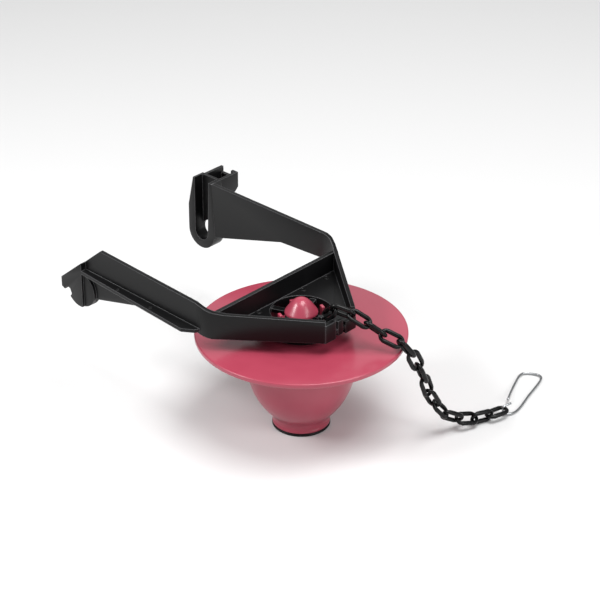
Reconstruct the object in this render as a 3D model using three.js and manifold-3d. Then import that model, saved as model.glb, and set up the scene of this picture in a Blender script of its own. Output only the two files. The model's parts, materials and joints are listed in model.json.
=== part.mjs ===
// Toilet flapper: a rubber seal on a pivoting moulded frame, with its lift chain and wire clip.
// Millimetres, +Z up. The origin is the centre of the plug's flat underside, on the floor.
// +X runs from the pivot ears towards the chain hook. The near arm is on -Y, the far arm on +Y.
import * as THREE from "three";
import { mergeVertices } from "three/addons/utils/BufferGeometryUtils.js";
import Module from "manifold-3d";

const wasm = await Module();
wasm.setup();

// Clearances
const touchGap = 0.3; // between pieces that touch
const seatGap = 0.3; // under and round what the frame sits on

// Rubber seal
const discRadius = 50;
const discTop = 50.4;
const discRim = 2.4;
const coneWall = 5;
const neckRadius = 13.4;
const neckHeight = 4.2;
const shoulderRadius = 26.6;
const coneKnee = { inset: 0.1, rise: 11.7 };
const coneFlank = { bulge: 0.6, rise: 28.5 };
const creaseDepth = 0.5;
const stemRadius = 4.4;
const headRadius = 8;
const headHeight = 7.6;
const headRim = 1;
const lugCount = 4;
const lugAngle = 65;
const lugSize = 3;
const lugRise = 9.6;
const lugOrbit = 10.6;

// Base plug
const plugFlange = 1.2;
const plugLip = 0.5;
const plugWall = 1.8;
const plugDepth = 6;
const ventRadius = 2.6;
const ventOffset = 3;

// Frame, heights from the top of the disc or of the tray's plate
const wall = 2;
const plateThickness = 1.8;
const plateTop = discTop + 10.1;
const cupWall = 1.8;
const cupRadius = 14.6;
const hubRadius = 7.6;
const hubThickness = 2;
const hubTop = plateTop - 1.2;
const spokeWidth = 3;
const crossWallX = -16;
const trayWallTop = plateTop + 9.8;
const tipWallTop = plateTop + 7;
const trayBottom = plateTop - 3.3;
const bendX = -24;
const bendHalf = 44.5;
const rearHalf = 40;
const tipX = 23.6;
const tipHalf = 9.4;
const shelfThickness = 1.7;
const shelfReach = 5.5;

// Pivot ears
const pivotX = -103.7;
const pivotZ = plateTop - 9.9;
const earRadius = 8.8;
const pegRadius = 4.35;
const earDepth = 5.3;
const bossReach = 4;
const socketFloor = 1.4;
const cheekNotch = { back: 8.3, drop: 3.4, radius: 2.4 }; // from the pivot
const grooveDepth = 5.7;
const grooveBack = 1.3;
const pocketReach = 12.2;
const pocketDepth = 8;
const pocketWall = 1.5;
const rearFall = 0.84; // drop per millimetre behind a web's highest point
const lowerCorner = { near: pivotZ - 2.2, far: pivotZ + 0.2 };

// The two arms differ a little in height along their length
const nearArm = {
  side: -1,
  bend: 4,
  startX: pivotX,
  rearX: -91,
  rearTop: plateTop + 14.6,
  bendTop: plateTop + 13.5,
  shelfTop: plateTop + 1.1,
  cornerZ: lowerCorner.near,
};
const farArm = {
  side: 1,
  bend: 7,
  startX: pivotX + pegRadius + 3.1,
  rearX: pivotX + pegRadius + 3.6,
  rearTop: plateTop + 19.1,
  bendTop: plateTop + 14.9,
  shelfTop: plateTop + 3.1,
  cornerZ: lowerCorner.far,
};

// Chain
const linkWire = 1.8;
const linkSlack = 0.75;
const linkPlay = 0.6;
const linkPitch = 8.6;
const linkWidth = 3 * linkWire + 2 * linkSlack;
const linkSegments = 12;
const wireSides = 8;

// Chain hook
const hookSlope = 43;
const hookTwist = 35;
const hookRise = 0.7;
const hookGap = 0.6;
const hookY = -0.2;
const hookPost = 1.5;
const postGap = 1.7;
const tongueWidth = 3.4;
const tongueThickness = 2;
const tongueSlot = 1.7;
const tongueTop = plateTop + 4.2;

// Wire clip
const clipWire = 1.1;

const black = { color: 0x1c1c1d, roughness: 0.45, metalness: 0 };
const blackLink = { color: 0x151516, roughness: 0.38, metalness: 0 };
const redRubber = { color: 0xc4485f, roughness: 0.5, metalness: 0 };
const steel = { color: 0xc9cacb, roughness: 0.25, metalness: 1 };

// Solids from three.js geometry

function toSolid(geometry) {
  const bare = geometry.clone();
  bare.deleteAttribute("normal");
  bare.deleteAttribute("uv");
  const merged = mergeVertices(bare, 1e-4);
  const corners = merged.index.array;
  const kept = [];
  for (let i = 0; i < corners.length; i += 3) {
    const [a, b, c] = corners.slice(i, i + 3);
    if (a !== b && b !== c && c !== a) kept.push(a, b, c);
  }
  return new wasm.Manifold(new wasm.Mesh({
    numProp: 3,
    vertProperties: merged.attributes.position.array,
    triVerts: new Uint32Array(kept),
  }));
}

function toGeometry(solid) {
  const mesh = solid.getMesh();
  const geometry = new THREE.BufferGeometry();
  geometry.setAttribute("position", new THREE.BufferAttribute(mesh.vertProperties, 3));
  geometry.setIndex(new THREE.BufferAttribute(mesh.triVerts, 1));
  geometry.computeVertexNormals();
  return geometry;
}

const point = ([x, y]) => new THREE.Vector2(x, y);

// A prism standing on an outline drawn in plan, from one height to another
function upright(points, bottom, top, holes = []) {
  const shape = new THREE.Shape(points.map(point));
  for (const hole of holes) shape.holes.push(hole);
  const geometry = new THREE.ExtrudeGeometry(shape, { depth: top - bottom, bevelEnabled: false });
  geometry.translate(0, 0, bottom);
  return toSolid(geometry);
}

// A prism on an outline drawn in side view, x and z, between two distances from the middle plane
function sideways(points, inner, outer, side) {
  const shape = new THREE.Shape(points.map(point));
  const geometry = new THREE.ExtrudeGeometry(shape, { depth: outer - inner, bevelEnabled: false });
  geometry.rotateX(Math.PI / 2);
  geometry.translate(0, side > 0 ? outer : -inner, 0);
  return toSolid(geometry);
}

// A prism on an outline drawn in end view, y and z, between two values of x
function endways(points, from, to) {
  const shape = new THREE.Shape(points.map(point));
  const geometry = new THREE.ExtrudeGeometry(shape, { depth: to - from, bevelEnabled: false });
  geometry.rotateX(Math.PI / 2);
  geometry.rotateZ(Math.PI / 2);
  geometry.translate(from, 0, 0);
  return toSolid(geometry);
}

function box(x0, x1, y0, y1, z0, z1) {
  const geometry = new THREE.BoxGeometry(x1 - x0, y1 - y0, z1 - z0);
  geometry.translate((x0 + x1) / 2, (y0 + y1) / 2, (z0 + z1) / 2);
  return toSolid(geometry);
}

function turned(profile, segments) {
  const geometry = new THREE.LatheGeometry(profile.map(point), segments);
  geometry.rotateX(Math.PI / 2);
  return toSolid(geometry);
}

function post(radius, bottom, top, segments = 32) {
  return turned([[0, bottom], [radius, bottom], [radius, top], [0, top]], segments);
}

// A cylinder along Y at a place in side view, between two distances from the middle plane
function crossPost(x, z, radius, inner, outer, side) {
  const geometry = new THREE.CylinderGeometry(radius, radius, outer - inner, 24);
  geometry.translate(x, side * (inner + outer) / 2, z);
  return toSolid(geometry);
}

function pegHole(radius, inner, outer, side) {
  return crossPost(pivotX, pivotZ, radius, inner, outer, side);
}

function arcPoints(radius, from, to, steps) {
  return Array.from({ length: steps + 1 }, (_, i) => {
    const angle = THREE.MathUtils.degToRad(from + (to - from) * i / steps);
    return [pivotX + radius * Math.cos(angle), pivotZ + radius * Math.sin(angle)];
  });
}

function union(solids) {
  return solids.reduce((sum, next) => sum.add(next));
}

// A closed outline that follows a plan path at two offsets from it
function ribbon(path, left, right) {
  const edge = (offset) => path.map((p, i) => {
    const before = path[Math.max(i - 1, 0)];
    const after = path[Math.min(i + 1, path.length - 1)];
    const along = new THREE.Vector2().subVectors(after, before).normalize();
    return [p.x - along.y * offset, p.y + along.x * offset];
  });
  return [...edge(left), ...edge(right).reverse()];
}

// Rubber seal: sealing disc, hollow cone, stem and conical head in one moulding

const sealBottom = plugFlange + touchGap;
const neckTop = sealBottom + neckHeight;
const discUnder = discTop - discRim;
const boss = { radius: cupRadius + cupWall + 1, foot: cupRadius + cupWall + 4.4, rise: 0.8 };
const bossTop = discTop + boss.rise;
const headBase = hubTop + touchGap;

function coneSide(offset, top) {
  const from = new THREE.Vector2(neckRadius - offset, neckTop);
  const knee = new THREE.Vector2(shoulderRadius - coneKnee.inset - offset, neckTop + coneKnee.rise);
  const flank = new THREE.Vector2(shoulderRadius + coneFlank.bulge - offset, neckTop + coneFlank.rise);
  const to = new THREE.Vector2(shoulderRadius - offset, top);
  return new THREE.CubicBezierCurve(from, knee, flank, to).getPoints(7).map((p) => [p.x, p.y]);
}

function headSide() {
  const rim = headBase + headRim;
  const from = new THREE.Vector2(headRadius - 0.25, rim);
  const flank = new THREE.Vector2(headRadius * 0.55, headBase + headHeight * 0.76);
  const crown = new THREE.Vector2(headRadius * 0.4, headBase + headHeight);
  const tip = new THREE.Vector2(0, headBase + headHeight);
  return new THREE.CubicBezierCurve(from, flank, crown, tip).getPoints(6).map((p) => [p.x, p.y]);
}

function sealProfile() {
  const innerTop = discUnder - coneWall;
  const inside = coneSide(coneWall, innerTop).reverse();
  return [
    [neckRadius - coneWall, sealBottom],
    [neckRadius + 0.3, sealBottom],
    [neckRadius + 0.35, sealBottom + 0.7],
    [neckRadius, sealBottom + 1.1],
    ...coneSide(0, discUnder - 1.6),
    [shoulderRadius + 0.5, discUnder - 0.6],
    [shoulderRadius + 1.8, discUnder],
    [discRadius - 0.5, discUnder],
    [discRadius, discUnder + 0.5],
    [discRadius, discTop - 0.5],
    [discRadius - 0.5, discTop],
    [shoulderRadius + 0.6, discTop],
    [shoulderRadius - 0.4, discTop - creaseDepth],
    [boss.foot, discTop - creaseDepth],
    [boss.radius + 0.8, bossTop - 0.5],
    [boss.radius, bossTop],
    [stemRadius, bossTop],
    [stemRadius, headBase],
    [headRadius - 0.3, headBase],
    [headRadius, headBase + 0.35],
    ...headSide(),
    [0, innerTop],
    ...inside,
    [neckRadius - coneWall, sealBottom],
  ];
}

function lug(index) {
  const geometry = new THREE.BoxGeometry(lugSize / 2, lugSize, lugRise + 1);
  geometry.translate(lugOrbit, 0, bossTop + (lugRise - 1) / 2);
  geometry.rotateZ(THREE.MathUtils.degToRad(lugAngle + index * 360 / lugCount));
  return toSolid(geometry);
}

function rubberSeal() {
  const lugs = Array.from({ length: lugCount }, (_, index) => lug(index));
  return union([turned(sealProfile(), 56), ...lugs]);
}

// Base plug: a flanged cup pressed into the cone's mouth, with an off-centre vent

function basePlug() {
  const spigot = neckRadius - coneWall - touchGap;
  const body = turned([
    [0, 0],
    [neckRadius + plugLip - 0.3, 0],
    [neckRadius + plugLip, 0.3],
    [neckRadius + plugLip, plugFlange],
    [spigot, plugFlange],
    [spigot, plugFlange + plugDepth],
    [spigot - plugWall, plugFlange + plugDepth],
    [spigot - plugWall, plugFlange],
    [0, plugFlange],
  ], 48);
  const vent = post(ventRadius, -1, plugFlange + 1, 20).translate([ventOffset, 0, 0]);
  return body.subtract(vent);
}

// Frame: arms, ears, tray, cup and hook in one moulding

const cornerX = bendX + 4.5;
const trayWallSlope = (bendHalf - tipHalf) / (tipX - cornerX);
const trayHalf = (x) => bendHalf - (x - cornerX) * trayWallSlope;
const plateUnder = plateTop - plateThickness;
const earFront = pivotX + earRadius;
const cupBottom = bossTop + seatGap;
const lipTop = { near: tongueTop + 1, far: tongueTop - 2.2 };

function armPath(arm) {
  const rear = new THREE.Vector2(arm.startX, rearHalf);
  const corner = new THREE.Vector2(cornerX, bendHalf);
  const tip = new THREE.Vector2(tipX, tipHalf);
  const before = corner.clone().lerp(rear, arm.bend / corner.distanceTo(rear));
  const after = corner.clone().lerp(tip, 0.85 * arm.bend / corner.distanceTo(tip));
  const curve = new THREE.QuadraticBezierCurve(before, corner, after);
  return [rear, ...curve.getPoints(6), tip].map((p) => new THREE.Vector2(p.x, arm.side * p.y));
}

function armSideView(arm) {
  const shelfUnder = arm.shelfTop - shelfThickness;
  return [
    [arm.rearX, arm.rearTop],
    [bendX, arm.bendTop],
    [bendX + 3, arm.bendTop - 0.9],
    [crossWallX, trayWallTop + 0.4],
    [crossWallX + 4, trayWallTop - 0.5],
    [tipX + 1, tipWallTop],
    [tipX + 1, trayBottom - 0.7],
    [crossWallX, trayBottom],
    [bendX - 2, shelfUnder],
    [pivotX + 52, shelfUnder],
    [earFront + 2, arm.cornerZ],
    [arm.startX, arm.cornerZ],
    [arm.startX, rearSlope(arm, arm.startX)],
  ];
}

// The web's rear end falls away behind its highest point
function rearSlope(arm, x) {
  return arm.rearTop - Math.max(arm.rearX - x, 0) * rearFall;
}

function armSolid(arm) {
  const outline = ribbon(armPath(arm), wall / 2, -wall / 2);
  const plan = upright(outline, pivotZ - earRadius, farArm.rearTop + 1);
  const view = armSideView(arm);
  return plan.intersect(sideways(view, 0, bendHalf + 6, arm.side));
}

function shelf(arm) {
  const outer = bendHalf + wall / 2;
  const plan = [
    [arm.startX + 1.6, rearHalf],
    [arm.startX + 1.6, rearHalf + 4.3],
    [bendX - 4, outer + shelfReach],
    [bendX + 1.5, outer + 2],
    [bendX + 3, outer - 2],
    [bendX - 4, bendHalf],
  ].map(([x, y]) => [x, arm.side * y]);
  return upright(plan, arm.shelfTop - shelfThickness, arm.shelfTop);
}

function tray() {
  const inner = trayHalf(crossWallX);
  const nose = tipX + 0.6;
  const plate = upright([
    [crossWallX, -inner],
    [nose, -tipHalf],
    [nose, tipHalf],
    [crossWallX, inner],
  ], plateUnder, plateTop);
  const crossWall = box(crossWallX - wall / 2, crossWallX + wall / 2, -inner, inner, trayBottom, trayWallTop);
  const slot = tongueWidth / 2 + tongueSlot;
  const lips = [-1, 1].map((side) => {
    const edges = [side * slot, side * (tipHalf + 1)];
    const top = side > 0 ? lipTop.far : lipTop.near;
    return box(tipX - 1.4, tipX + 1, Math.min(...edges), Math.max(...edges), trayBottom - 0.7, top);
  });
  return union([plate, crossWall, ...lips]);
}

function cup() {
  const outside = post(cupRadius + cupWall, cupBottom, plateTop, 56);
  const inside = post(cupRadius, cupBottom - 1, plateTop + 1, 56);
  return { outside, inside };
}

function hub() {
  const bottom = hubTop - hubThickness;
  const ring = post(hubRadius, bottom, hubTop, 36);
  const spokes = [0, 1, 2, 3].map((index) => {
    const geometry = new THREE.BoxGeometry(cupRadius + cupWall / 2, spokeWidth, hubThickness);
    geometry.translate((cupRadius + cupWall / 2) / 2, 0, bottom + hubThickness / 2);
    geometry.rotateZ(THREE.MathUtils.degToRad(lugAngle + 45 + index * 90));
    return toSolid(geometry);
  });
  return union([ring, ...spokes]).subtract(post(stemRadius + touchGap, bottom - 1, hubTop + 1, 36));
}

// The hook is a round bar on two posts, behind a tongue that stands at the tray's nose
const linkStep = linkWire + linkPlay;
const linkCrown = linkPitch + linkStep;
const hookTilt = THREE.MathUtils.degToRad(hookSlope);
const hookZ = plateTop + linkStep * Math.sin(hookTilt) + linkWire / 2 + hookRise;
const tongueBack = tipX + 0.8 - tongueThickness;
const hookX = tongueBack - (linkWidth / 2 + hookGap) / Math.sin(hookTilt)
  - (tongueTop - hookZ) / Math.tan(hookTilt);
const hookHold = new THREE.Vector3(hookX, hookY, hookZ);

function hook() {
  const half = linkWire / 2;
  const inner = half + postGap;
  const outer = inner + hookPost;
  const tongue = box(
    tongueBack, tongueBack + tongueThickness,
    -tongueWidth / 2, tongueWidth / 2,
    trayBottom, tongueTop,
  );
  const geometry = new THREE.CylinderGeometry(half, half, 2 * outer - hookPost, 12);
  geometry.translate(hookX, hookY, hookZ);
  const posts = [-1, 1].map((side) => {
    const edges = [hookY + side * inner, hookY + side * outer];
    return box(hookX - 1, hookX + 1, Math.min(...edges), Math.max(...edges), plateUnder, hookZ + 1.1);
  });
  return union([tongue, toSolid(geometry), ...posts]);
}

// Near ear: a plain plate with a blind peg socket behind an outer cheek
function nearEar() {
  const side = -1;
  const inner = rearHalf - wall / 2;
  const back = pivotX - earRadius;
  const plate = sideways([
    [earFront, rearSlope(nearArm, earFront)],
    [back, rearSlope(nearArm, back)],
    [back, pivotZ],
    ...arcPoints(earRadius, 190, 350, 16),
    [earFront, pivotZ],
  ], inner, inner + wall, side);
  const cheekFront = pivotX + 1.6;
  const cheekBack = back - 4;
  const cheek = sideways([
    [cheekFront, rearSlope(nearArm, cheekFront)],
    [cheekBack, rearSlope(nearArm, cheekBack)],
    [cheekBack, pivotZ - 2],
    [back - 1.2, pivotZ - 3.2],
    ...arcPoints(earRadius, 205, 278, 9),
    [cheekFront, pivotZ - earRadius + 0.2],
  ], inner + wall - 0.5, inner + earDepth, side);
  const pegBoss = pegHole(earRadius, inner, inner + bossReach, side);
  const notch = crossPost(
    pivotX - cheekNotch.back, pivotZ - cheekNotch.drop, cheekNotch.radius,
    inner + wall, inner + earDepth + 1, side,
  );
  return union([plate, cheek.subtract(notch), pegBoss]);
}

// The blind hole of the near ear, cut through the arm's web too
function nearSocket() {
  const inner = rearHalf - wall / 2;
  return pegHole(pegRadius, inner - 1, inner + bossReach - socketFloor, -1);
}

// Far ear: a channel that guides the peg down to its hole, and an outer pocket
function farEar() {
  const side = 1;
  const inner = rearHalf - wall / 2;
  const outer = inner + grooveDepth + grooveBack;
  const back = pivotX - earRadius;
  const front = pivotX + pegRadius + 3.1;
  const top = farArm.rearTop;
  const block = sideways([
    [front, top],
    [back + 3.5, top],
    [back, pivotZ + 13],
    [back, pivotZ],
    ...arcPoints(earRadius, 190, 350, 16),
    [front + 2, pivotZ - 1],
  ], inner, outer, side);
  const groove = sideways([
    [pivotX - pegRadius, pivotZ],
    [pivotX + pegRadius, pivotZ],
    [pivotX + pegRadius + 1.2, top + 1],
    [pivotX - pegRadius, top + 1],
  ], inner - 1, inner + grooveDepth, side);
  const hole = pegHole(pegRadius, inner - 1, outer + 1, side);
  const reach = outer + pocketReach;
  const floor = top - pocketDepth;
  const pocketView = [
    [outer - 0.5, floor - 6],
    [reach - 2, floor - 2],
    [reach, floor],
    [reach, top],
    [outer - 0.5, top],
  ];
  const frontWall = endways(pocketView, front - pocketWall, front);
  const rearX = pivotX - pegRadius + 0.15;
  const rearWall = endways(pocketView, rearX, rearX + pocketWall);
  const outerWall = box(rearX, front, reach - pocketWall, reach, floor, top);
  const notch = box(rearX + pocketWall, front - 3.6, reach - 3, reach + 1, top - 2.9, top + 1);
  const pocket = union([frontWall, rearWall, outerWall]).subtract(notch);
  return block.subtract(groove).subtract(hole).add(pocket);
}

function pivotFrame() {
  const { outside, inside } = cup();
  const shell = union([
    armSolid(nearArm),
    armSolid(farArm),
    shelf(nearArm),
    shelf(farArm),
    tray(),
    outside,
  ]).subtract(inside);
  const solid = union([shell, hub(), hook(), nearEar(), farEar()]);
  return solid.subtract(nearSocket());
}

// Chain: each link hooks round the far end of the one before it

const chainFacing = new THREE.Vector3(0.59, -0.65, 0.48);
const firstAlong = new THREE.Vector3(Math.cos(hookTilt), 0, Math.sin(hookTilt));
const firstEnd = hookHold.clone().addScaledVector(firstAlong, linkPitch);

// A point of the chain's way: distance past the disc's rim, angle about the middle, height
function pastRim(distance, angle, height) {
  const turn = THREE.MathUtils.degToRad(angle);
  const radius = discRadius + distance;
  return new THREE.Vector3(radius * Math.cos(turn), radius * Math.sin(turn), height);
}

// The way the chain lies: over the tray's nose, over the disc's rim and along the floor
const floorZ = linkWidth / 2 + 0.1;
const chainBends = [
  firstEnd,
  firstEnd.clone().add(new THREE.Vector3(6.9, 4.5, -2.5)),
  firstEnd.clone().add(new THREE.Vector3(13.8, 7.8, -6.5)),
  pastRim(-6, 15.5, discTop + 7.6),
  pastRim(2, 18, discTop + 3.7),
  pastRim(8, 24.8, discTop * 0.76),
  pastRim(12.8, 30.2, discTop * 0.4),
  pastRim(20.8, 34.8, 8.6),
  pastRim(33.2, 40.2, floorZ + 0.4),
  pastRim(48.3, 45.8, floorZ),
  pastRim(60, 50.2, floorZ),
];
const lastBends = chainBends.slice(-2);
const runOn = lastBends[1].clone().multiplyScalar(2).sub(lastBends[0]);
const chainRoute = new THREE.CatmullRomCurve3([...chainBends, runOn]);

// How far each link is turned about the chain from lying open to chainFacing, in degrees
const linkTurns = [58, 150, 80, -14, 73, -12, 76, 143, 224, 307, 409, 508, 580, 662];

function linkEnds() {
  const samples = chainRoute.getPoints(160 * chainBends.length);
  const ends = [hookHold, samples[0]];
  for (const sample of samples) {
    if (ends.length === linkTurns.length + 2) break;
    if (sample.distanceTo(ends[ends.length - 1]) >= linkPitch) ends.push(sample);
  }
  return ends;
}

function linkSolid() {
  const radius = (linkWidth - linkWire) / 2;
  const geometry = new THREE.TorusGeometry(radius, linkWire / 2, wireSides, linkSegments);
  geometry.rotateZ(Math.PI / linkSegments);
  const straight = linkCrown / 2 - radius;
  const position = geometry.attributes.position;
  for (let i = 0; i < position.count; i += 1) {
    const x = position.getX(i);
    position.setX(i, x + Math.sign(x) * straight);
  }
  return geometry;
}

function linkFrame(from, to, turn) {
  const along = new THREE.Vector3().subVectors(to, from).normalize();
  const normal = chainFacing.clone().addScaledVector(along, -chainFacing.dot(along)).normalize();
  normal.applyAxisAngle(along, THREE.MathUtils.degToRad(turn));
  const across = new THREE.Vector3().crossVectors(normal, along);
  return new THREE.Matrix4().makeBasis(along, across, normal);
}

const group = new THREE.Group();

function addMesh(name, geometry, look) {
  const mesh = new THREE.Mesh(geometry, new THREE.MeshStandardMaterial(look));
  mesh.name = name;
  group.add(mesh);
  return mesh;
}

addMesh("pivot_frame", toGeometry(pivotFrame()), black);
addMesh("rubber_seal", toGeometry(rubberSeal()), redRubber);
addMesh("base_plug", toGeometry(basePlug()), black);

const ends = linkEnds();
const firstNormal = new THREE.Vector3(0, -1, 0)
  .applyAxisAngle(firstAlong, THREE.MathUtils.degToRad(-hookTwist));
const firstLink = new THREE.Matrix4().makeBasis(
  firstAlong,
  new THREE.Vector3().crossVectors(firstNormal, firstAlong),
  firstNormal,
);
const linkFrames = [firstLink, ...linkTurns.map((turn, i) => linkFrame(ends[i + 1], ends[i + 2], turn))];
linkFrames.forEach((frame, i) => {
  const mesh = addMesh(`chain_link_${String(i + 1).padStart(2, "0")}`, linkSolid(), blackLink);
  const along = new THREE.Vector3().setFromMatrixColumn(frame, 0);
  mesh.quaternion.setFromRotationMatrix(frame);
  mesh.position.copy(ends[i]).addScaledVector(along, linkCrown / 2 - linkStep);
});

// Wire clip: one bent wire hooked through the last link

const lastEnd = ends[ends.length - 1];
const lastAlong = new THREE.Vector3().setFromMatrixColumn(linkFrames[linkFrames.length - 1], 0);
const clipHold = (linkWire + clipWire) / 2 + touchGap;

// The open loop's bends: x and y from the end of the chain, and the lift off the floor
const loopBends = [
  [-2.45, 21.9, 0],
  [-6.85, 36.5, 0],
  [-8.45, 38.9, 0],
  [-11.25, 39.3, 0],
  [-16.65, 35.9, 0],
  [-17.05, 33.5, 0],
  [-13.45, 23.9, 0],
  [-5.85, 8.9, 1.6],
];

function wireClip() {
  const inside = lastEnd.clone().addScaledVector(lastAlong, -clipHold);
  const floor = clipWire / 2 + 0.25;
  const route = new THREE.CatmullRomCurve3([
    lastEnd.clone().addScaledVector(lastAlong, clipHold * 1.6).setZ(floor + 5),
    inside.clone().setZ(lastEnd.z + 1.6),
    inside,
    inside.clone().setZ(floor + 1.1),
    lastEnd.clone().add(new THREE.Vector3(2.2, 3, 0)).setZ(floor),
    ...loopBends.map(([x, y, lift]) => lastEnd.clone().add(new THREE.Vector3(x, y, 0)).setZ(floor + lift)),
  ], false, "centripetal");
  const section = new THREE.Shape();
  section.absarc(0, 0, clipWire / 2, 0, Math.PI * 2);
  return new THREE.ExtrudeGeometry(section, { steps: 52, curveSegments: 8, extrudePath: route });
}

addMesh("wire_clip", wireClip(), steel);

export default group;
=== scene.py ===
# %% [markdown]
# # A toilet flapper, dressed for the camera
# The flapper is the lid of a flush valve. A red rubber disc seals the valve seat, a hollow cone under
# it holds air so that it floats up when the chain pulls, and a black forked frame pivots on two pegs.
# The solids already exist at their real size. This lesson gives each of them its real surface: rounded
# moulded edges, smooth turned rubber, round chain links and a bright wire.

import json
import math

import bmesh
import bpy
from mathutils import Matrix, Vector

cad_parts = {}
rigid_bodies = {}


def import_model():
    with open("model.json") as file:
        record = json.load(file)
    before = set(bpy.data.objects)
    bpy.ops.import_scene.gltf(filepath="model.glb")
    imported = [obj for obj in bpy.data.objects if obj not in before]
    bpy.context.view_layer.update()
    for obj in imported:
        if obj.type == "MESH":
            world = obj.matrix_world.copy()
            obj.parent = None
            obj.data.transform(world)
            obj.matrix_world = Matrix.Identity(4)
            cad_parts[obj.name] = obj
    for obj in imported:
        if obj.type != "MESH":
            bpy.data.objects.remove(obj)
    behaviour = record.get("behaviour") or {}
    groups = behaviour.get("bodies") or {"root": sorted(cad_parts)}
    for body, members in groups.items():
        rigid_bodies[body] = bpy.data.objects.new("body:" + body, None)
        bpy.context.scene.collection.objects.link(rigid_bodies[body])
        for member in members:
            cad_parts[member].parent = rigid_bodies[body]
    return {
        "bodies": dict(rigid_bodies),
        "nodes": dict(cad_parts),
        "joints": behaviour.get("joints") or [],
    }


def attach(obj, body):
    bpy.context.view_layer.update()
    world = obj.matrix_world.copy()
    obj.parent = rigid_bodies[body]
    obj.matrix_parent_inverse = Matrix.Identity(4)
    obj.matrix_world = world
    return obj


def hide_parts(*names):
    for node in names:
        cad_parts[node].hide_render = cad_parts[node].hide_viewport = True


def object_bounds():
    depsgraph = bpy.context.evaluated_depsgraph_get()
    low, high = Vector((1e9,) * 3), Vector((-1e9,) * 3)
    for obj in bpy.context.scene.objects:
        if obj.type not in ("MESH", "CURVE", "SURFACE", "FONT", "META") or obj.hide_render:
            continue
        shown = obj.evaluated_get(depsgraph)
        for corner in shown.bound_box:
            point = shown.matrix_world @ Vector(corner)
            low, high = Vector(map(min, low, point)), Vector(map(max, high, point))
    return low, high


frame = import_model()
cad_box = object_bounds()
MM = 0.001
JOINTS = {joint["child"]: joint for joint in frame["joints"]}
LINKS = sorted(name for name in frame["bodies"] if name.startswith("chain_link"))
print("solids:", len(frame["nodes"]), "joints:", len(JOINTS), "links:", len(LINKS))

# %% [markdown]
# ## The camera
# The photograph was taken from a long way off with a long lens, so the part shows little perspective.
# Its angle is 42.5 degrees round from the front and about 29 degrees above the table. A camera that
# is placed by those two angles and a distance can be checked against the picture one number at a time.

# %% Place the camera
AZIMUTH = math.radians(42.5)
ELEVATION = math.radians(29.05)
DISTANCE = 1096.3 * MM
LENS = 138
RIGHT = Vector((math.cos(AZIMUTH), math.sin(AZIMUTH), 0))
BACK = Vector((
    math.sin(AZIMUTH) * math.cos(ELEVATION),
    -math.cos(AZIMUTH) * math.cos(ELEVATION),
    math.sin(ELEVATION),
))
UP = BACK.cross(RIGHT)
AIM = (-0.6 * RIGHT + 57.8 * UP) * MM


def facing(right, up, back, place):
    """A placement whose own axes are these three directions."""
    turn = Matrix((right, up, back)).transposed().to_4x4()
    return Matrix.Translation(place) @ turn


lens_data = bpy.data.cameras.new("camera")
lens_data.lens = LENS
lens_data.sensor_width = 36
lens_data.clip_end = 20
camera = bpy.data.objects.new("camera", lens_data)
bpy.context.scene.collection.objects.link(camera)
camera.matrix_world = facing(RIGHT, UP, BACK, AIM + BACK * DISTANCE)
bpy.context.scene.camera = camera
bpy.context.scene.view_settings.view_transform = "Standard"
print("camera at", [round(v, 3) for v in camera.matrix_world.translation])

# %% [markdown]
# ## Small helpers for materials
# Colours are picked as sRGB codes, the way a paint chart gives them. A shader works in linear light, so
# one function converts them. The other helpers add the few nodes that the materials share, with their
# inputs filled in or linked, so that every material below reads as a short recipe.


# %% Helpers for materials
def linear(code):
    """An sRGB hex colour, as the four linear values that a shader wants."""
    values = [int(code[i:i + 2], 16) / 255 for i in (1, 3, 5)]
    curve = [v / 12.92 if v <= 0.04045 else ((v + 0.055) / 1.055) ** 2.4 for v in values]
    return (*curve, 1)


def fill(tree, node, sockets):
    """Links or fills in a node's inputs, by their names or numbers."""
    for socket, value in sockets.items():
        if isinstance(value, bpy.types.NodeSocket):
            tree.links.new(value, node.inputs[socket])
        else:
            node.inputs[socket].default_value = value


def add_node(tree, kind, sockets=None, **settings):
    """One node, with its inputs linked or filled in and its settings by name."""
    node = tree.nodes.new(kind)
    for name, value in settings.items():
        setattr(node, name, value)
    fill(tree, node, sockets or {})
    return node


def new_material(name):
    """An empty material, its node tree, its shader and the object's own coordinates."""
    material = bpy.data.materials.new(name)
    material.use_nodes = True
    tree = material.node_tree
    shader = tree.nodes["Principled BSDF"]
    place = add_node(tree, "ShaderNodeTexCoord").outputs["Object"]
    return material, tree, shader, place


def cloudy(tree, place, width, detail, more=None):
    """A cloudy pattern whose patches are this many millimetres wide, as a value from 0 to 1."""
    sockets = {"Vector": place, "Scale": 1 / (width * MM), "Detail": detail, **(more or {})}
    return add_node(tree, "ShaderNodeTexNoise", sockets).outputs["Fac"]


# A mix node has the same socket names for numbers and for colours, so its colours go by place.
MIX_FIRST, MIX_SECOND, MIX_RESULT = 6, 7, 2


def two_shades(tree, factor, first, second):
    """A colour that goes from the first shade to the second as the factor goes from 0 to 1."""
    sockets = {"Factor": factor, MIX_FIRST: first, MIX_SECOND: second}
    return add_node(tree, "ShaderNodeMix", sockets, data_type="RGBA").outputs[MIX_RESULT]


def spread(tree, value, low, high, begin=0, complete=1):
    """A value that goes from low to high as another goes from begin to complete."""
    sockets = {
        "Value": value, "From Min": begin, "From Max": complete, "To Min": low, "To Max": high,
    }
    return add_node(tree, "ShaderNodeMapRange", sockets).outputs["Result"]


def relief(tree, height, strength, depth, under=None):
    """Fine relief of this depth in millimetres, on the plain surface or on the direction under it."""
    sockets = {"Height": height, "Strength": strength, "Distance": depth * MM}
    if under:
        sockets["Normal"] = under
    return add_node(tree, "ShaderNodeBump", sockets).outputs["Normal"]


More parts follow.
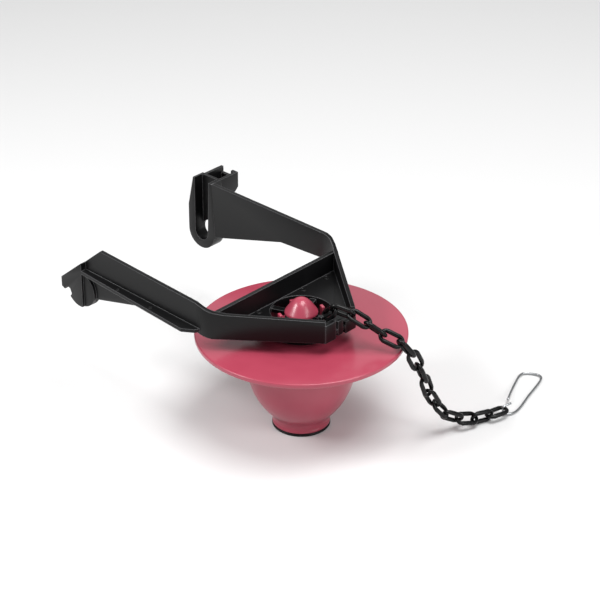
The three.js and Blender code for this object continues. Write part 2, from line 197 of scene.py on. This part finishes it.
# %% [markdown]
# ## Table and light
# A product photograph like this one is made in a white tent. A wide soft box overhead and one on the right
# light the rubber evenly. A smaller one at the left brightens the cone and draws the streak on the
# cone-shaped head. A weak one behind lays a faint sheen on the disc. The white walls fill the shadows.


# %% Floor and lamps
# The floor and the lamps are measured in metres, because they are large. Clumps of fibre in the paper are
# a little over a millimetre wide, so 900 of them lie along a metre.
FIBRE_CLUMPS = 900
FLOOR_DROP = 0.1 * MM
FLOOR_SIZE = 12
LAMP_AIM = (0, 0, 0.05)
TENT_GLOW = 0.32
LAMPS = {
    "soft_box_above": {"place": (0.25, 0.05, 1.0), "size": (0.7, 0.55), "watts": 9.8},
    "soft_box_right": {"place": (1.0, 0.1, 0.6), "size": (0.5, 0.5), "watts": 4.8},
    "soft_box_left": {"place": (-0.36, -0.54, 0.6), "size": (0.32, 0.26), "watts": 4.8},
    "soft_box_behind": {"place": (-0.62, 0.68, 0.56), "size": (0.5, 0.4), "watts": 0.35},
}


def matt_floor_paper():
    """White background paper. Its rough fibres scatter the light, so it shows no lamp, only shadow."""
    material, tree, shader, place = new_material("matt_floor_paper")
    fibre = add_node(tree, "ShaderNodeTexNoise", {"Vector": place, "Scale": FIBRE_CLUMPS})
    bump = add_node(tree, "ShaderNodeBump", {"Height": fibre.outputs["Fac"], "Strength": 0.02})
    fill(tree, shader, {
        "Normal": bump.outputs["Normal"],
        "Base Color": linear("#DADADA"),
        "Roughness": 0.9,
        "Specular IOR Level": 0.1,
    })
    return material


def lamp(name, place, size, watts):
    """A soft box that looks at the part."""
    data = bpy.data.lights.new(name, "AREA")
    data.shape = "RECTANGLE"
    data.size, data.size_y = size
    data.energy = watts
    light = bpy.data.objects.new(name, data)
    bpy.context.scene.collection.objects.link(light)
    light.location = place
    light.rotation_euler = (Vector(place) - Vector(LAMP_AIM)).to_track_quat("Z", "Y").to_euler()


bpy.ops.mesh.primitive_plane_add(size=FLOOR_SIZE, location=(0, 0, -FLOOR_DROP))
floor = bpy.context.object
floor.name = "floor_paper"
floor.data.materials.append(matt_floor_paper())

for name, facts in LAMPS.items():
    lamp(name, **facts)

world = bpy.data.worlds.new("white_tent")
world.use_nodes = True
backdrop = world.node_tree.nodes["Background"]
backdrop.inputs["Color"].default_value = linear("#FFFFFF")
backdrop.inputs["Strength"].default_value = TENT_GLOW
bpy.context.scene.world = world
print("lamps:", list(LAMPS))

# %% [markdown]
# ## Four finishes
# The part has only four materials. The rubber is a satin red that takes a little dye unevenly. The frame
# is injection moulded black plastic, with a paler colour painted along its edges as a painted highlight.
# The chain is the same kind of plastic but polished in its mould, and the clip is drawn steel wire.


# %% Moulded red rubber
def moulded_red_rubber():
    """Dyed rubber. The cloudy tint keeps the wide disc alive, and its thin skin gives soft highlights."""
    material, tree, shader, place = new_material("moulded_red_rubber")
    cloud = cloudy(tree, place, 14, 3, {"Roughness": 0.55})
    grain = cloudy(tree, place, 0.35, 2)
    fill(tree, shader, {
        "Base Color": two_shades(tree, cloud, linear("#9B384B"), linear("#A54053")),
        "Roughness": spread(tree, cloud, 0.25, 0.35),
        "Normal": relief(tree, grain, 0.12, 0.02),
        "IOR": 1.5,
        "Coat Weight": 0.2,
        "Coat Roughness": 0.18,
    })
    return material


# %% [markdown]
# Black plastic has hardly any colour of its own, so the eye reads it by the highlights on its edges. These
# are painted in: a paler colour is laid along each edge as a painted highlight. A bevel node gives the
# direction that the surface would have if each edge were rounded. Where that turns away from the flat
# direction there is an edge. The painted highlight begins at 8 degrees of turn and is full at 35 degrees,
# and the two limits below are the cosines of these angles.

# %% Moulded black plastic, satin and polished
EDGE_RADIUS = 0.5
EDGE_SAMPLES = 8
# Cosines of turn at which the painted edge highlight begins and is full.
EDGE_HIGHLIGHT_BEGINS = 0.99
EDGE_HIGHLIGHT_COMPLETE = 0.82


def black_plastic(name, shade, flow_shade, gloss, grain_depth):
    """Black moulded plastic. Faint flow marks vary its sheen, and a painted highlight along its edges draws
    its form.
    """
    material, tree, shader, place = new_material(name)
    flow = cloudy(tree, place, 9, 4, {"Roughness": 0.6, "Distortion": 0.4})
    grain = cloudy(tree, place, 0.3, 2)
    bevel = add_node(tree, "ShaderNodeBevel", {"Radius": EDGE_RADIUS * MM}, samples=EDGE_SAMPLES)
    round_edge = bevel.outputs["Normal"]
    flat = add_node(tree, "ShaderNodeNewGeometry").outputs["Normal"]
    turn = add_node(
        tree, "ShaderNodeVectorMath", {0: round_edge, 1: flat}, operation="DOT_PRODUCT",
    ).outputs["Value"]
    # Painted highlight: the pale colour #626264 is mixed into the base colour along every edge, convex and
    # concave, in place of the light that rounded edges catch.
    painted_edge_highlight = spread(tree, turn, 0, 1, EDGE_HIGHLIGHT_BEGINS, EDGE_HIGHLIGHT_COMPLETE)
    body_shade = two_shades(tree, flow, linear(shade), linear(flow_shade))
    fill(tree, shader, {
        "Base Color": two_shades(tree, painted_edge_highlight, body_shade, linear("#626264")),
        "Roughness": spread(tree, flow, *gloss),
        "Normal": relief(tree, grain, 0.2, grain_depth, round_edge),
        "IOR": 1.47,
        "Specular IOR Level": 0.27,
    })
    return material


# %% Drawn steel wire
def drawn_steel_wire():
    """Bright wire, pulled through a die. The fine marks that the die leaves break up its mirror shine."""
    material, tree, shader, place = new_material("drawn_steel_wire")
    marks = cloudy(tree, place, 0.25, 3)
    fill(tree, shader, {
        "Base Color": linear("#A6A8AA"),
        "Metallic": 1,
        "Roughness": spread(tree, marks, 0.18, 0.34),
        "Normal": relief(tree, marks, 0.15, 0.01),
    })
    return material


RED_RUBBER = moulded_red_rubber()
FRAME_PLASTIC = black_plastic("satin_black_plastic", "#070708", "#0C0C0D", (0.3, 0.42), 0.02)
CHAIN_PLASTIC = black_plastic("polished_black_plastic", "#060607", "#0B0B0C", (0.22, 0.34), 0.01)
CLIP_STEEL = drawn_steel_wire()
print("finishes:", [m.name for m in (RED_RUBBER, FRAME_PLASTIC, CHAIN_PLASTIC, CLIP_STEEL)])

# %% [markdown]
# ## The rubber seal
# The seal is a turned shape, so its outline is drawn once, in radius and height, and spun round the
# middle. Rubber comes out of its mould with soft corners, so each corner of the outline is rounded by
# a small arc before it is spun. Four small lugs that lock the head in the frame are added as blocks.


# %% Helpers for turned pieces
def add_piece(name, mesh, material, body, node):
    """Puts a mesh in the scene in place of its solid, riding on its body and inside the solids' box."""
    for vertex in mesh.vertices:
        limits = zip(vertex.co, cad_box[0], cad_box[1])
        vertex.co = [min(max(value, low), high) for value, low, high in limits]
    mesh.materials.clear()
    mesh.materials.append(material)
    piece = bpy.data.objects.new(name, mesh)
    bpy.context.scene.collection.objects.link(piece)
    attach(piece, body)
    if node:
        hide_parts(node)
    print(name, "faces:", len(mesh.polygons))
    return piece


# An arc takes less than half of a side, so that two arcs on one side never meet.
ARC_SHARE = 0.49


def rounded(outline, steps=5):
    """An outline of (radius, height, rounding) corners, each given an arc of its own rounding."""
    points = []
    for i, (r, z, size) in enumerate(outline):
        corner = Vector((r, z))
        if size == 0 or i in (0, len(outline) - 1):
            points.append(corner)
            continue
        before = Vector(outline[i - 1][:2]) - corner
        after = Vector(outline[i + 1][:2]) - corner
        cut = min(size, before.length * ARC_SHARE, after.length * ARC_SHARE)
        start = corner + before.normalized() * cut
        end = corner + after.normalized() * cut
        for k in range(steps + 1):
            t = k / steps
            points.append(start * (1 - t) ** 2 + corner * 2 * t * (1 - t) + end * t ** 2)
    return points


def bezier(a, b, c, d, steps):
    """Points along a cubic curve, without its ends, as smooth corners of an outline."""
    a, b, c, d = (Vector(p) for p in (a, b, c, d))
    places = [k / steps for k in range(1, steps)]
    curve = [
        a * (1 - t) ** 3 + b * 3 * t * (1 - t) ** 2 + c * 3 * t ** 2 * (1 - t) + d * t ** 3
        for t in places
    ]
    return [(p.x, p.y, 0) for p in curve]


ON_AXIS = 1e-6


def turned_mesh(name, points, turns):
    """Spins a closed outline in millimetres round the Z axis."""
    mesh = bpy.data.meshes.new(name)
    bm = bmesh.new()
    rings = []
    for r, z in points:
        if r < ON_AXIS:
            rings.append([bm.verts.new((0, 0, z * MM))])
            continue
        ring = []
        for k in range(turns):
            angle = 2 * math.pi * k / turns
            spot = (r * math.cos(angle) * MM, r * math.sin(angle) * MM, z * MM)
            ring.append(bm.verts.new(spot))
        rings.append(ring)
    for low, high in zip(rings, rings[1:] + rings[:1]):
        if len(low) == 1 and len(high) == 1:
            continue
        for k in range(turns):
            n = (k + 1) % turns
            corners = [low[k % len(low)], low[n % len(low)], high[n % len(high)], high[k % len(high)]]
            bm.faces.new(dict.fromkeys(corners))
    bmesh.ops.recalc_face_normals(bm, faces=bm.faces)
    bm.to_mesh(mesh)
    bm.free()
    mesh.shade_smooth()
    return mesh


# %% Draw and spin the seal
SEAL_TURNS = 192
CONE_STEPS = 22
HEAD_STEPS = 18
DISC_RADIUS = 50
DISC_TOP = 50.4
DISC_UNDER = 48
MOUTH_HEIGHT = 1.5
BEAD_TOP = 2.3
BEAD_END = 2.9
BEAD_OUT = 0.35
NECK_RADIUS = 13.4
NECK_TOP = 5.7
SHOULDER = 26.6
CONE_WALL = 5
INSIDE_DROP = 1
HOLLOW_INSIDE = 20.9
HOLLOW_DEPTH = 0.5
BOSS_RADIUS = 17.4
BOSS_TOP = 51.2
STEM_RADIUS = 4.4
HEAD_RADIUS = 8
HEAD_BASE = 59.6
HEAD_HEIGHT = 7.6
HEAD_RIM = 1
HEAD_TAPER = 0.25
LUG_COUNT = 4
LUG_SIZE = (1.5, 3, 10.6)
LUG_PLACE = (10.6, 0, BOSS_TOP + 4.3)
LUG_TURN = 65
LUG_EDGE = 0.3

cone_outside = bezier(
    (NECK_RADIUS, NECK_TOP), (SHOULDER - 0.1, NECK_TOP + 11.7),
    (SHOULDER + 0.6, NECK_TOP + 28.5), (SHOULDER, DISC_UNDER - 1.6), CONE_STEPS,
)
cone_inside = [(r - CONE_WALL, z - INSIDE_DROP, 0) for r, z, _ in reversed(cone_outside)]
head_side = bezier(
    (HEAD_RADIUS - HEAD_TAPER, HEAD_BASE + HEAD_RIM),
    (HEAD_RADIUS * 0.55, HEAD_BASE + HEAD_HEIGHT * 0.76),
    (HEAD_RADIUS * 0.4, HEAD_BASE + HEAD_HEIGHT), (0, HEAD_BASE + HEAD_HEIGHT), HEAD_STEPS,
)
seal_outline = [
    (NECK_RADIUS - CONE_WALL, MOUTH_HEIGHT, 0),
    (NECK_RADIUS + BEAD_OUT, MOUTH_HEIGHT, 0.2),
    (NECK_RADIUS + BEAD_OUT, BEAD_TOP, 0.3),
    (NECK_RADIUS, BEAD_END, 0.4),
    (NECK_RADIUS, NECK_TOP, 0),
    *cone_outside,
    (SHOULDER, DISC_UNDER, 1.4),
    (DISC_RADIUS, DISC_UNDER, 0.8),
    (DISC_RADIUS, DISC_TOP, 0.8),
    (SHOULDER + 2, DISC_TOP, 1.8),
    (SHOULDER - 2.4, DISC_TOP - HOLLOW_DEPTH, 1.8),
    (HOLLOW_INSIDE, DISC_TOP - HOLLOW_DEPTH, 1.5),
    (BOSS_RADIUS, BOSS_TOP, 1.2),
    (STEM_RADIUS, BOSS_TOP, 0.8),
    (STEM_RADIUS, HEAD_BASE, 0.5),
    (HEAD_RADIUS, HEAD_BASE, 0.6),
    (HEAD_RADIUS - HEAD_TAPER, HEAD_BASE + HEAD_RIM, 0.3),
    *head_side,
    (0, HEAD_BASE + HEAD_HEIGHT, 0),
    (0, DISC_UNDER - CONE_WALL, 0),
    *cone_inside,
]
seal_mesh = turned_mesh("seal", rounded(seal_outline), SEAL_TURNS)


def add_lug(bm, size, place, angle):
    """A lug is a small block with rounded edges, turned about Z and added to a mesh."""
    made = bmesh.ops.create_cube(bm, size=1)["verts"]
    shape = Matrix.Rotation(angle, 4, "Z") @ Matrix.Translation(place) @ Matrix.Diagonal((*size, 1))
    bmesh.ops.transform(bm, matrix=shape, verts=made)
    edges = list({e for v in made for e in v.link_edges})
    bmesh.ops.bevel(
        bm, geom=edges, offset=LUG_EDGE * MM, segments=3, affect="EDGES", profile=0.6,
    )


bm = bmesh.new()
bm.from_mesh(seal_mesh)
for k in range(LUG_COUNT):
    turn = math.radians(LUG_TURN + 360 / LUG_COUNT * k)
    add_lug(bm, Vector(LUG_SIZE) * MM, Vector(LUG_PLACE) * MM, turn)
bm.to_mesh(seal_mesh)
bm.free()
seal_mesh.shade_smooth()
add_piece("seal_rubber", seal_mesh, RED_RUBBER, "flapper", "rubber_seal")

# %% [markdown]
# ## The base plug
# A black flanged cup closes the mouth of the cone. It is turned too, and its vent is a plain hole off
# the middle, cut with a boolean because the hole doesn't follow the turning.

# %% Turn the plug and cut its vent
PLUG_TURNS = 128
FLANGE_RADIUS = 13.9
FLANGE_TOP = 1.2
CUP_OUTSIDE = 8.1
CUP_INSIDE = 6.3
CUP_FLOOR = 1.25
CUP_TOP = 7.2
VENT_RADIUS = 2.6
VENT_OFFSET = 3
VENT_SIDES = 48
VENT_TOOL_LENGTH = 8
VENT_TOOL_MIDDLE = 0.5

plug_outline = [
    (0, 0, 0),
    (FLANGE_RADIUS, 0, 0.35),
    (FLANGE_RADIUS, FLANGE_TOP, 0.35),
    (CUP_OUTSIDE, FLANGE_TOP, 0.1),
    (CUP_OUTSIDE, CUP_TOP, 0.4),
    (CUP_INSIDE, CUP_TOP, 0.4),
    (CUP_INSIDE, CUP_FLOOR, 0.3),
    (0, CUP_FLOOR, 0),
]
plug_mesh = turned_mesh("plug", rounded(plug_outline, 4), PLUG_TURNS)
plug = add_piece("plug_cup", plug_mesh, FRAME_PLASTIC, "flapper", "base_plug")
bpy.ops.mesh.primitive_cylinder_add(
    vertices=VENT_SIDES, radius=VENT_RADIUS * MM, depth=VENT_TOOL_LENGTH * MM,
    location=(VENT_OFFSET * MM, 0, VENT_TOOL_MIDDLE * MM),
)
vent_tool = bpy.context.object
cut = plug.modifiers.new("vent", "BOOLEAN")
cut.operation = "DIFFERENCE"
cut.object = vent_tool
bpy.context.view_layer.update()
holed = bpy.data.meshes.new_from_object(plug.evaluated_get(bpy.context.evaluated_depsgraph_get()))
plug.modifiers.clear()
plug.data = holed
bpy.data.objects.remove(vent_tool)
print("plug with vent, faces:", len(holed.polygons))

# %% [markdown]
# ## The moulded frame
# The frame has many flat ribs and walls, and its solid is already right. What the solid lacks is the
# small radius that every moulded edge has, which is what catches the light in the photograph. So a
# copy of the solid is cleaned of its inner triangle edges and every sharp edge gets a small bevel.


# %% Round the edges of a copy of a solid
WELD_DISTANCE = 0.002
FLAT_WITHIN = math.radians(0.6)
SHARP_FROM = math.radians(28)
SHADE_SHARP_FROM = math.radians(30)


def softened_copy(node, radius, segments=3):
    """A copy of a solid's mesh with flat faces joined up and its sharp edges rounded."""
    mesh = frame["nodes"][node].data.copy()
    bm = bmesh.new()
    bm.from_mesh(mesh)
    bmesh.ops.remove_doubles(bm, verts=bm.verts, dist=WELD_DISTANCE * MM)
    bmesh.ops.dissolve_limit(bm, angle_limit=FLAT_WITHIN, verts=bm.verts, edges=bm.edges)
    bm.to_mesh(mesh)
    bm.free()
    shell = bpy.data.objects.new("shell", mesh)
    bpy.context.scene.collection.objects.link(shell)
    bevel = shell.modifiers.new("edge", "BEVEL")
    bevel.width = radius * MM
    bevel.segments = segments
    bevel.limit_method = "ANGLE"
    bevel.angle_limit = SHARP_FROM
    bevel.miter_outer = "MITER_ARC"
    bpy.context.view_layer.update()
    graph = bpy.context.evaluated_depsgraph_get()
    soft = bpy.data.meshes.new_from_object(shell.evaluated_get(graph))
    bpy.data.objects.remove(shell)
    soft.shade_smooth()
    soft.set_sharp_from_angle(angle=SHADE_SHARP_FROM)
    return soft


MOULDED_EDGE = 0.6
frame_mesh = softened_copy("pivot_frame", MOULDED_EDGE)
add_piece("frame_moulding", frame_mesh, FRAME_PLASTIC, "flapper", "pivot_frame")

# %% [markdown]
# ## Marks of the ejector pins
# The pins that push the moulding out of its mould leave small round marks on the tray and the shelf.
# Each is a thin raised ring, as high as a few sheets of paper, which is enough to catch the light.

# %% Add the marks of the ejector pins
PLATE_TOP = 60.5
SHELF_TOP = 61.6
TRAY_MARK_RADIUS = 1.3
SHELF_MARK_RADIUS = 0.7
TRAY_MARKS = ((-12.6, 31.5), (-13, 15.5), (-13.6, -14.4))
SHELF_MARKS = ((-75.6, -45.1), (-52, -46.8))
MARK_SIDES = 24
# The ring's section: how far out from its radius, and how high.
MARK_SECTION = ((-0.3, 0), (-0.22, 0.3), (0, 0.38), (0.22, 0.3), (0.3, 0))


def pin_mark(bm, x, y, z, radius):
    """A low ring on a flat face, with a rounded top."""
    rings = []
    for out, up in MARK_SECTION:
        ring = []
        for k in range(MARK_SIDES):
            angle = 2 * math.pi * k / MARK_SIDES
            r = radius + out
            spot = (x + r * math.cos(angle), y + r * math.sin(angle), z + up)
            ring.append(bm.verts.new(Vector(spot) * MM))
        rings.append(ring)
    for low, high in zip(rings, rings[1:]):
        for k in range(MARK_SIDES):
            n = (k + 1) % MARK_SIDES
            bm.faces.new((low[k], low[n], high[n], high[k]))


marks = bpy.data.meshes.new("pin_marks")
bm = bmesh.new()
for x, y in TRAY_MARKS:
    pin_mark(bm, x, y, PLATE_TOP, TRAY_MARK_RADIUS)
for x, y in SHELF_MARKS:
    pin_mark(bm, x, y, SHELF_TOP, SHELF_MARK_RADIUS)
bmesh.ops.recalc_face_normals(bm, faces=bm.faces)
bm.to_mesh(marks)
bm.free()
marks.shade_smooth()
add_piece("pin_marks", marks, FRAME_PLASTIC, "flapper", None)

# %% [markdown]
# ## The chain
# Every link is the same moulding, in the shape of a round wire bent to a long oval. It is swept once for
# each link, from the link's own hinge to the next one, so its middle line is that of its solid. The wire is
# thinnest at the ends, where one link passes through the next, and stouter along the sides.


# %% Sweep a round wire along a path
def wire_mesh(name, path, radii, sides, closed, side_hint):
    """A tube along points, each with its radius. side_hint is a direction never along the path."""
    mesh = bpy.data.meshes.new(name)
    bm = bmesh.new()
    count = len(path)
    rings = []
    for i, place in enumerate(path):
        before = path[i - 1] if closed or i else path[i]
        after = path[(i + 1) % count] if closed or i < count - 1 else path[i]
        along = (after - before).normalized()
        across = along.cross(side_hint).normalized()
        high = across.cross(along).normalized()
        ring = []
        for k in range(sides):
            angle = 2 * math.pi * (k + 0.5) / sides
            offset = across * math.cos(angle) + high * math.sin(angle)
            ring.append(bm.verts.new(place + offset * radii[i]))
        rings.append(ring)
    pairs = list(zip(rings, rings[1:]))
    if closed:
        pairs.append((rings[-1], rings[0]))
    for low, high in pairs:
        for k in range(sides):
            n = (k + 1) % sides
            bm.faces.new((low[k], low[n], high[n], high[k]))
    if not closed:
        bm.faces.new(rings[0])
        bm.faces.new(rings[-1])
    bmesh.ops.recalc_face_normals(bm, faces=bm.faces)
    bm.to_mesh(mesh)
    bm.free()
    mesh.shade_smooth()
    return mesh


# %% Lay out the links
# LINK_WIRE is the wire of the solids, and it places the middle line. LINK_STEP is how far a link reaches
# back behind its own hinge.
LINK_WIRE = 1.8
END_WIRE = LINK_WIRE
SIDE_WIRE = 2.2
LINK_STEP = 2.4
LINK_PITCH = 8.6
LINK_WIDTH = 6.9
LINK_SIDES = 14
ARC_STEPS = 16
STRAIGHT_STEPS = 4
FIRST_TWIST = math.radians(-35)


def link_path(start, along, normal):
    """The long oval that the middle of a link's wire follows, and the wire's radius along it."""
    across = normal.cross(along)
    bend = (LINK_WIDTH - LINK_WIRE) / 2
    half = (LINK_PITCH + LINK_STEP) / 2 - bend
    middle = start + along * (half + bend - LINK_STEP) * MM
    points, radii = [], []
    for side in (1, -1):
        for k in range(ARC_STEPS + 1):
            angle = math.pi * (k / ARC_STEPS - 0.5)
            forward = side * (half + bend * math.cos(angle))
            sideways = side * bend * math.sin(angle)
            points.append(middle + (along * forward + across * sideways) * MM)
            nearness = math.cos(angle) ** 0.5 if 0 < k < ARC_STEPS else 0
            radii.append((SIDE_WIRE - (SIDE_WIRE - END_WIRE) * nearness) / 2 * MM)
        for k in range(1, STRAIGHT_STEPS):
            forward = side * half * (1 - 2 * k / STRAIGHT_STEPS)
            points.append(middle + (along * forward + across * side * bend) * MM)
            radii.append(SIDE_WIRE / 2 * MM)
    return points, radii


starts = [Vector(JOINTS[name]["pos_m"]) for name in LINKS + ["wire_clip"]]
for i, name in enumerate(LINKS):
    along = (starts[i + 1] - starts[i]).normalized()
    normal = Vector(JOINTS[name]["axis"])
    if i == 0:
        normal = Matrix.Rotation(FIRST_TWIST, 3, along) @ -normal
    path, radii = link_path(starts[i], along, normal)
    mesh = wire_mesh(name, path, radii, LINK_SIDES, True, normal)
    number = name.split("_")[-1]
    add_piece(f"link_{number}", mesh, CHAIN_PLASTIC, name, name)

# %% [markdown]
# ## The wire clip
# The clip is one length of wire, hooked through the last link and bent round to an open loop. Its way
# is a smooth curve through a few bends, and the curve is worked out here the way a pen would draw it,
# with no overshoot at the tight corners.


# %% A smooth way through points
def smooth_way(points, steps):
    """A centripetal curve through the points, which doesn't overshoot at tight bends."""
    first = points[0] * 2 - points[1]
    last = points[-1] * 2 - points[-2]
    padded = [first, *points, last]
    way = []
    for i in range(1, len(padded) - 2):
        a, b, c, d = padded[i - 1:i + 3]
        gaps = [math.sqrt((q - p).length) for p, q in ((a, b), (b, c), (c, d))]
        lead = ((b - a) / gaps[0] - (c - a) / (gaps[0] + gaps[1]) + (c - b) / gaps[1]) * gaps[1]
        trail = ((c - b) / gaps[1] - (d - b) / (gaps[1] + gaps[2]) + (d - c) / gaps[2]) * gaps[1]
        for k in range(steps):
            t = k / steps
            way.append(
                b * (2 * t ** 3 - 3 * t ** 2 + 1) + lead * (t ** 3 - 2 * t ** 2 + t)
                + c * (-2 * t ** 3 + 3 * t ** 2) + trail * (t ** 3 - t ** 2)
            )
    way.append(points[-1])
    return way


# %% Bend the clip
# The bends run from the hooked end in the last link down to the table, out along it, round the far end
# of the loop and back to the free end, which stands up a little.
CLIP_WIRE = 1.1
CLIP_FLOOR = 0.8
CLIP_CLEARANCE = 0.3
CLIP_SIDES = 12
CLIP_STEPS = 8
NEVER_ALONG = Vector((0.31, 0.17, 0.93))
hold = (LINK_WIRE + CLIP_WIRE) / 2 + CLIP_CLEARANCE
end = starts[-1] / MM
along = (starts[-1] - starts[-2]).normalized()
inside = end - along * hold


def at_height(point, height):
    """The same place on the table, at another height."""
    return Vector((point.x, point.y, height))


clip_bends = [
    at_height(end + along * hold * 1.6, CLIP_FLOOR + 5),
    at_height(inside, end.z + 1.6),
    inside,
    at_height(inside, CLIP_FLOOR + 1.1),
    at_height(end + Vector((2.2, 3, 0)), CLIP_FLOOR),
    Vector((66, 92, CLIP_FLOOR)),
    Vector((61.6, 106.6, CLIP_FLOOR)),
    Vector((60, 109, CLIP_FLOOR)),
    Vector((57.2, 109.4, CLIP_FLOOR)),
    Vector((51.8, 106, CLIP_FLOOR)),
    Vector((51.4, 103.6, CLIP_FLOOR)),
    Vector((55, 94, CLIP_FLOOR)),
    Vector((62.6, 79, CLIP_FLOOR + 1.6)),
]
clip_path = [p * MM for p in smooth_way(clip_bends, CLIP_STEPS)]
clip_radii = [CLIP_WIRE / 2 * MM] * len(clip_path)
clip_mesh = wire_mesh("clip", clip_path, clip_radii, CLIP_SIDES, False, NEVER_ALONG)
add_piece("clip_wire", clip_mesh, CLIP_STEEL, "wire_clip", "wire_clip")
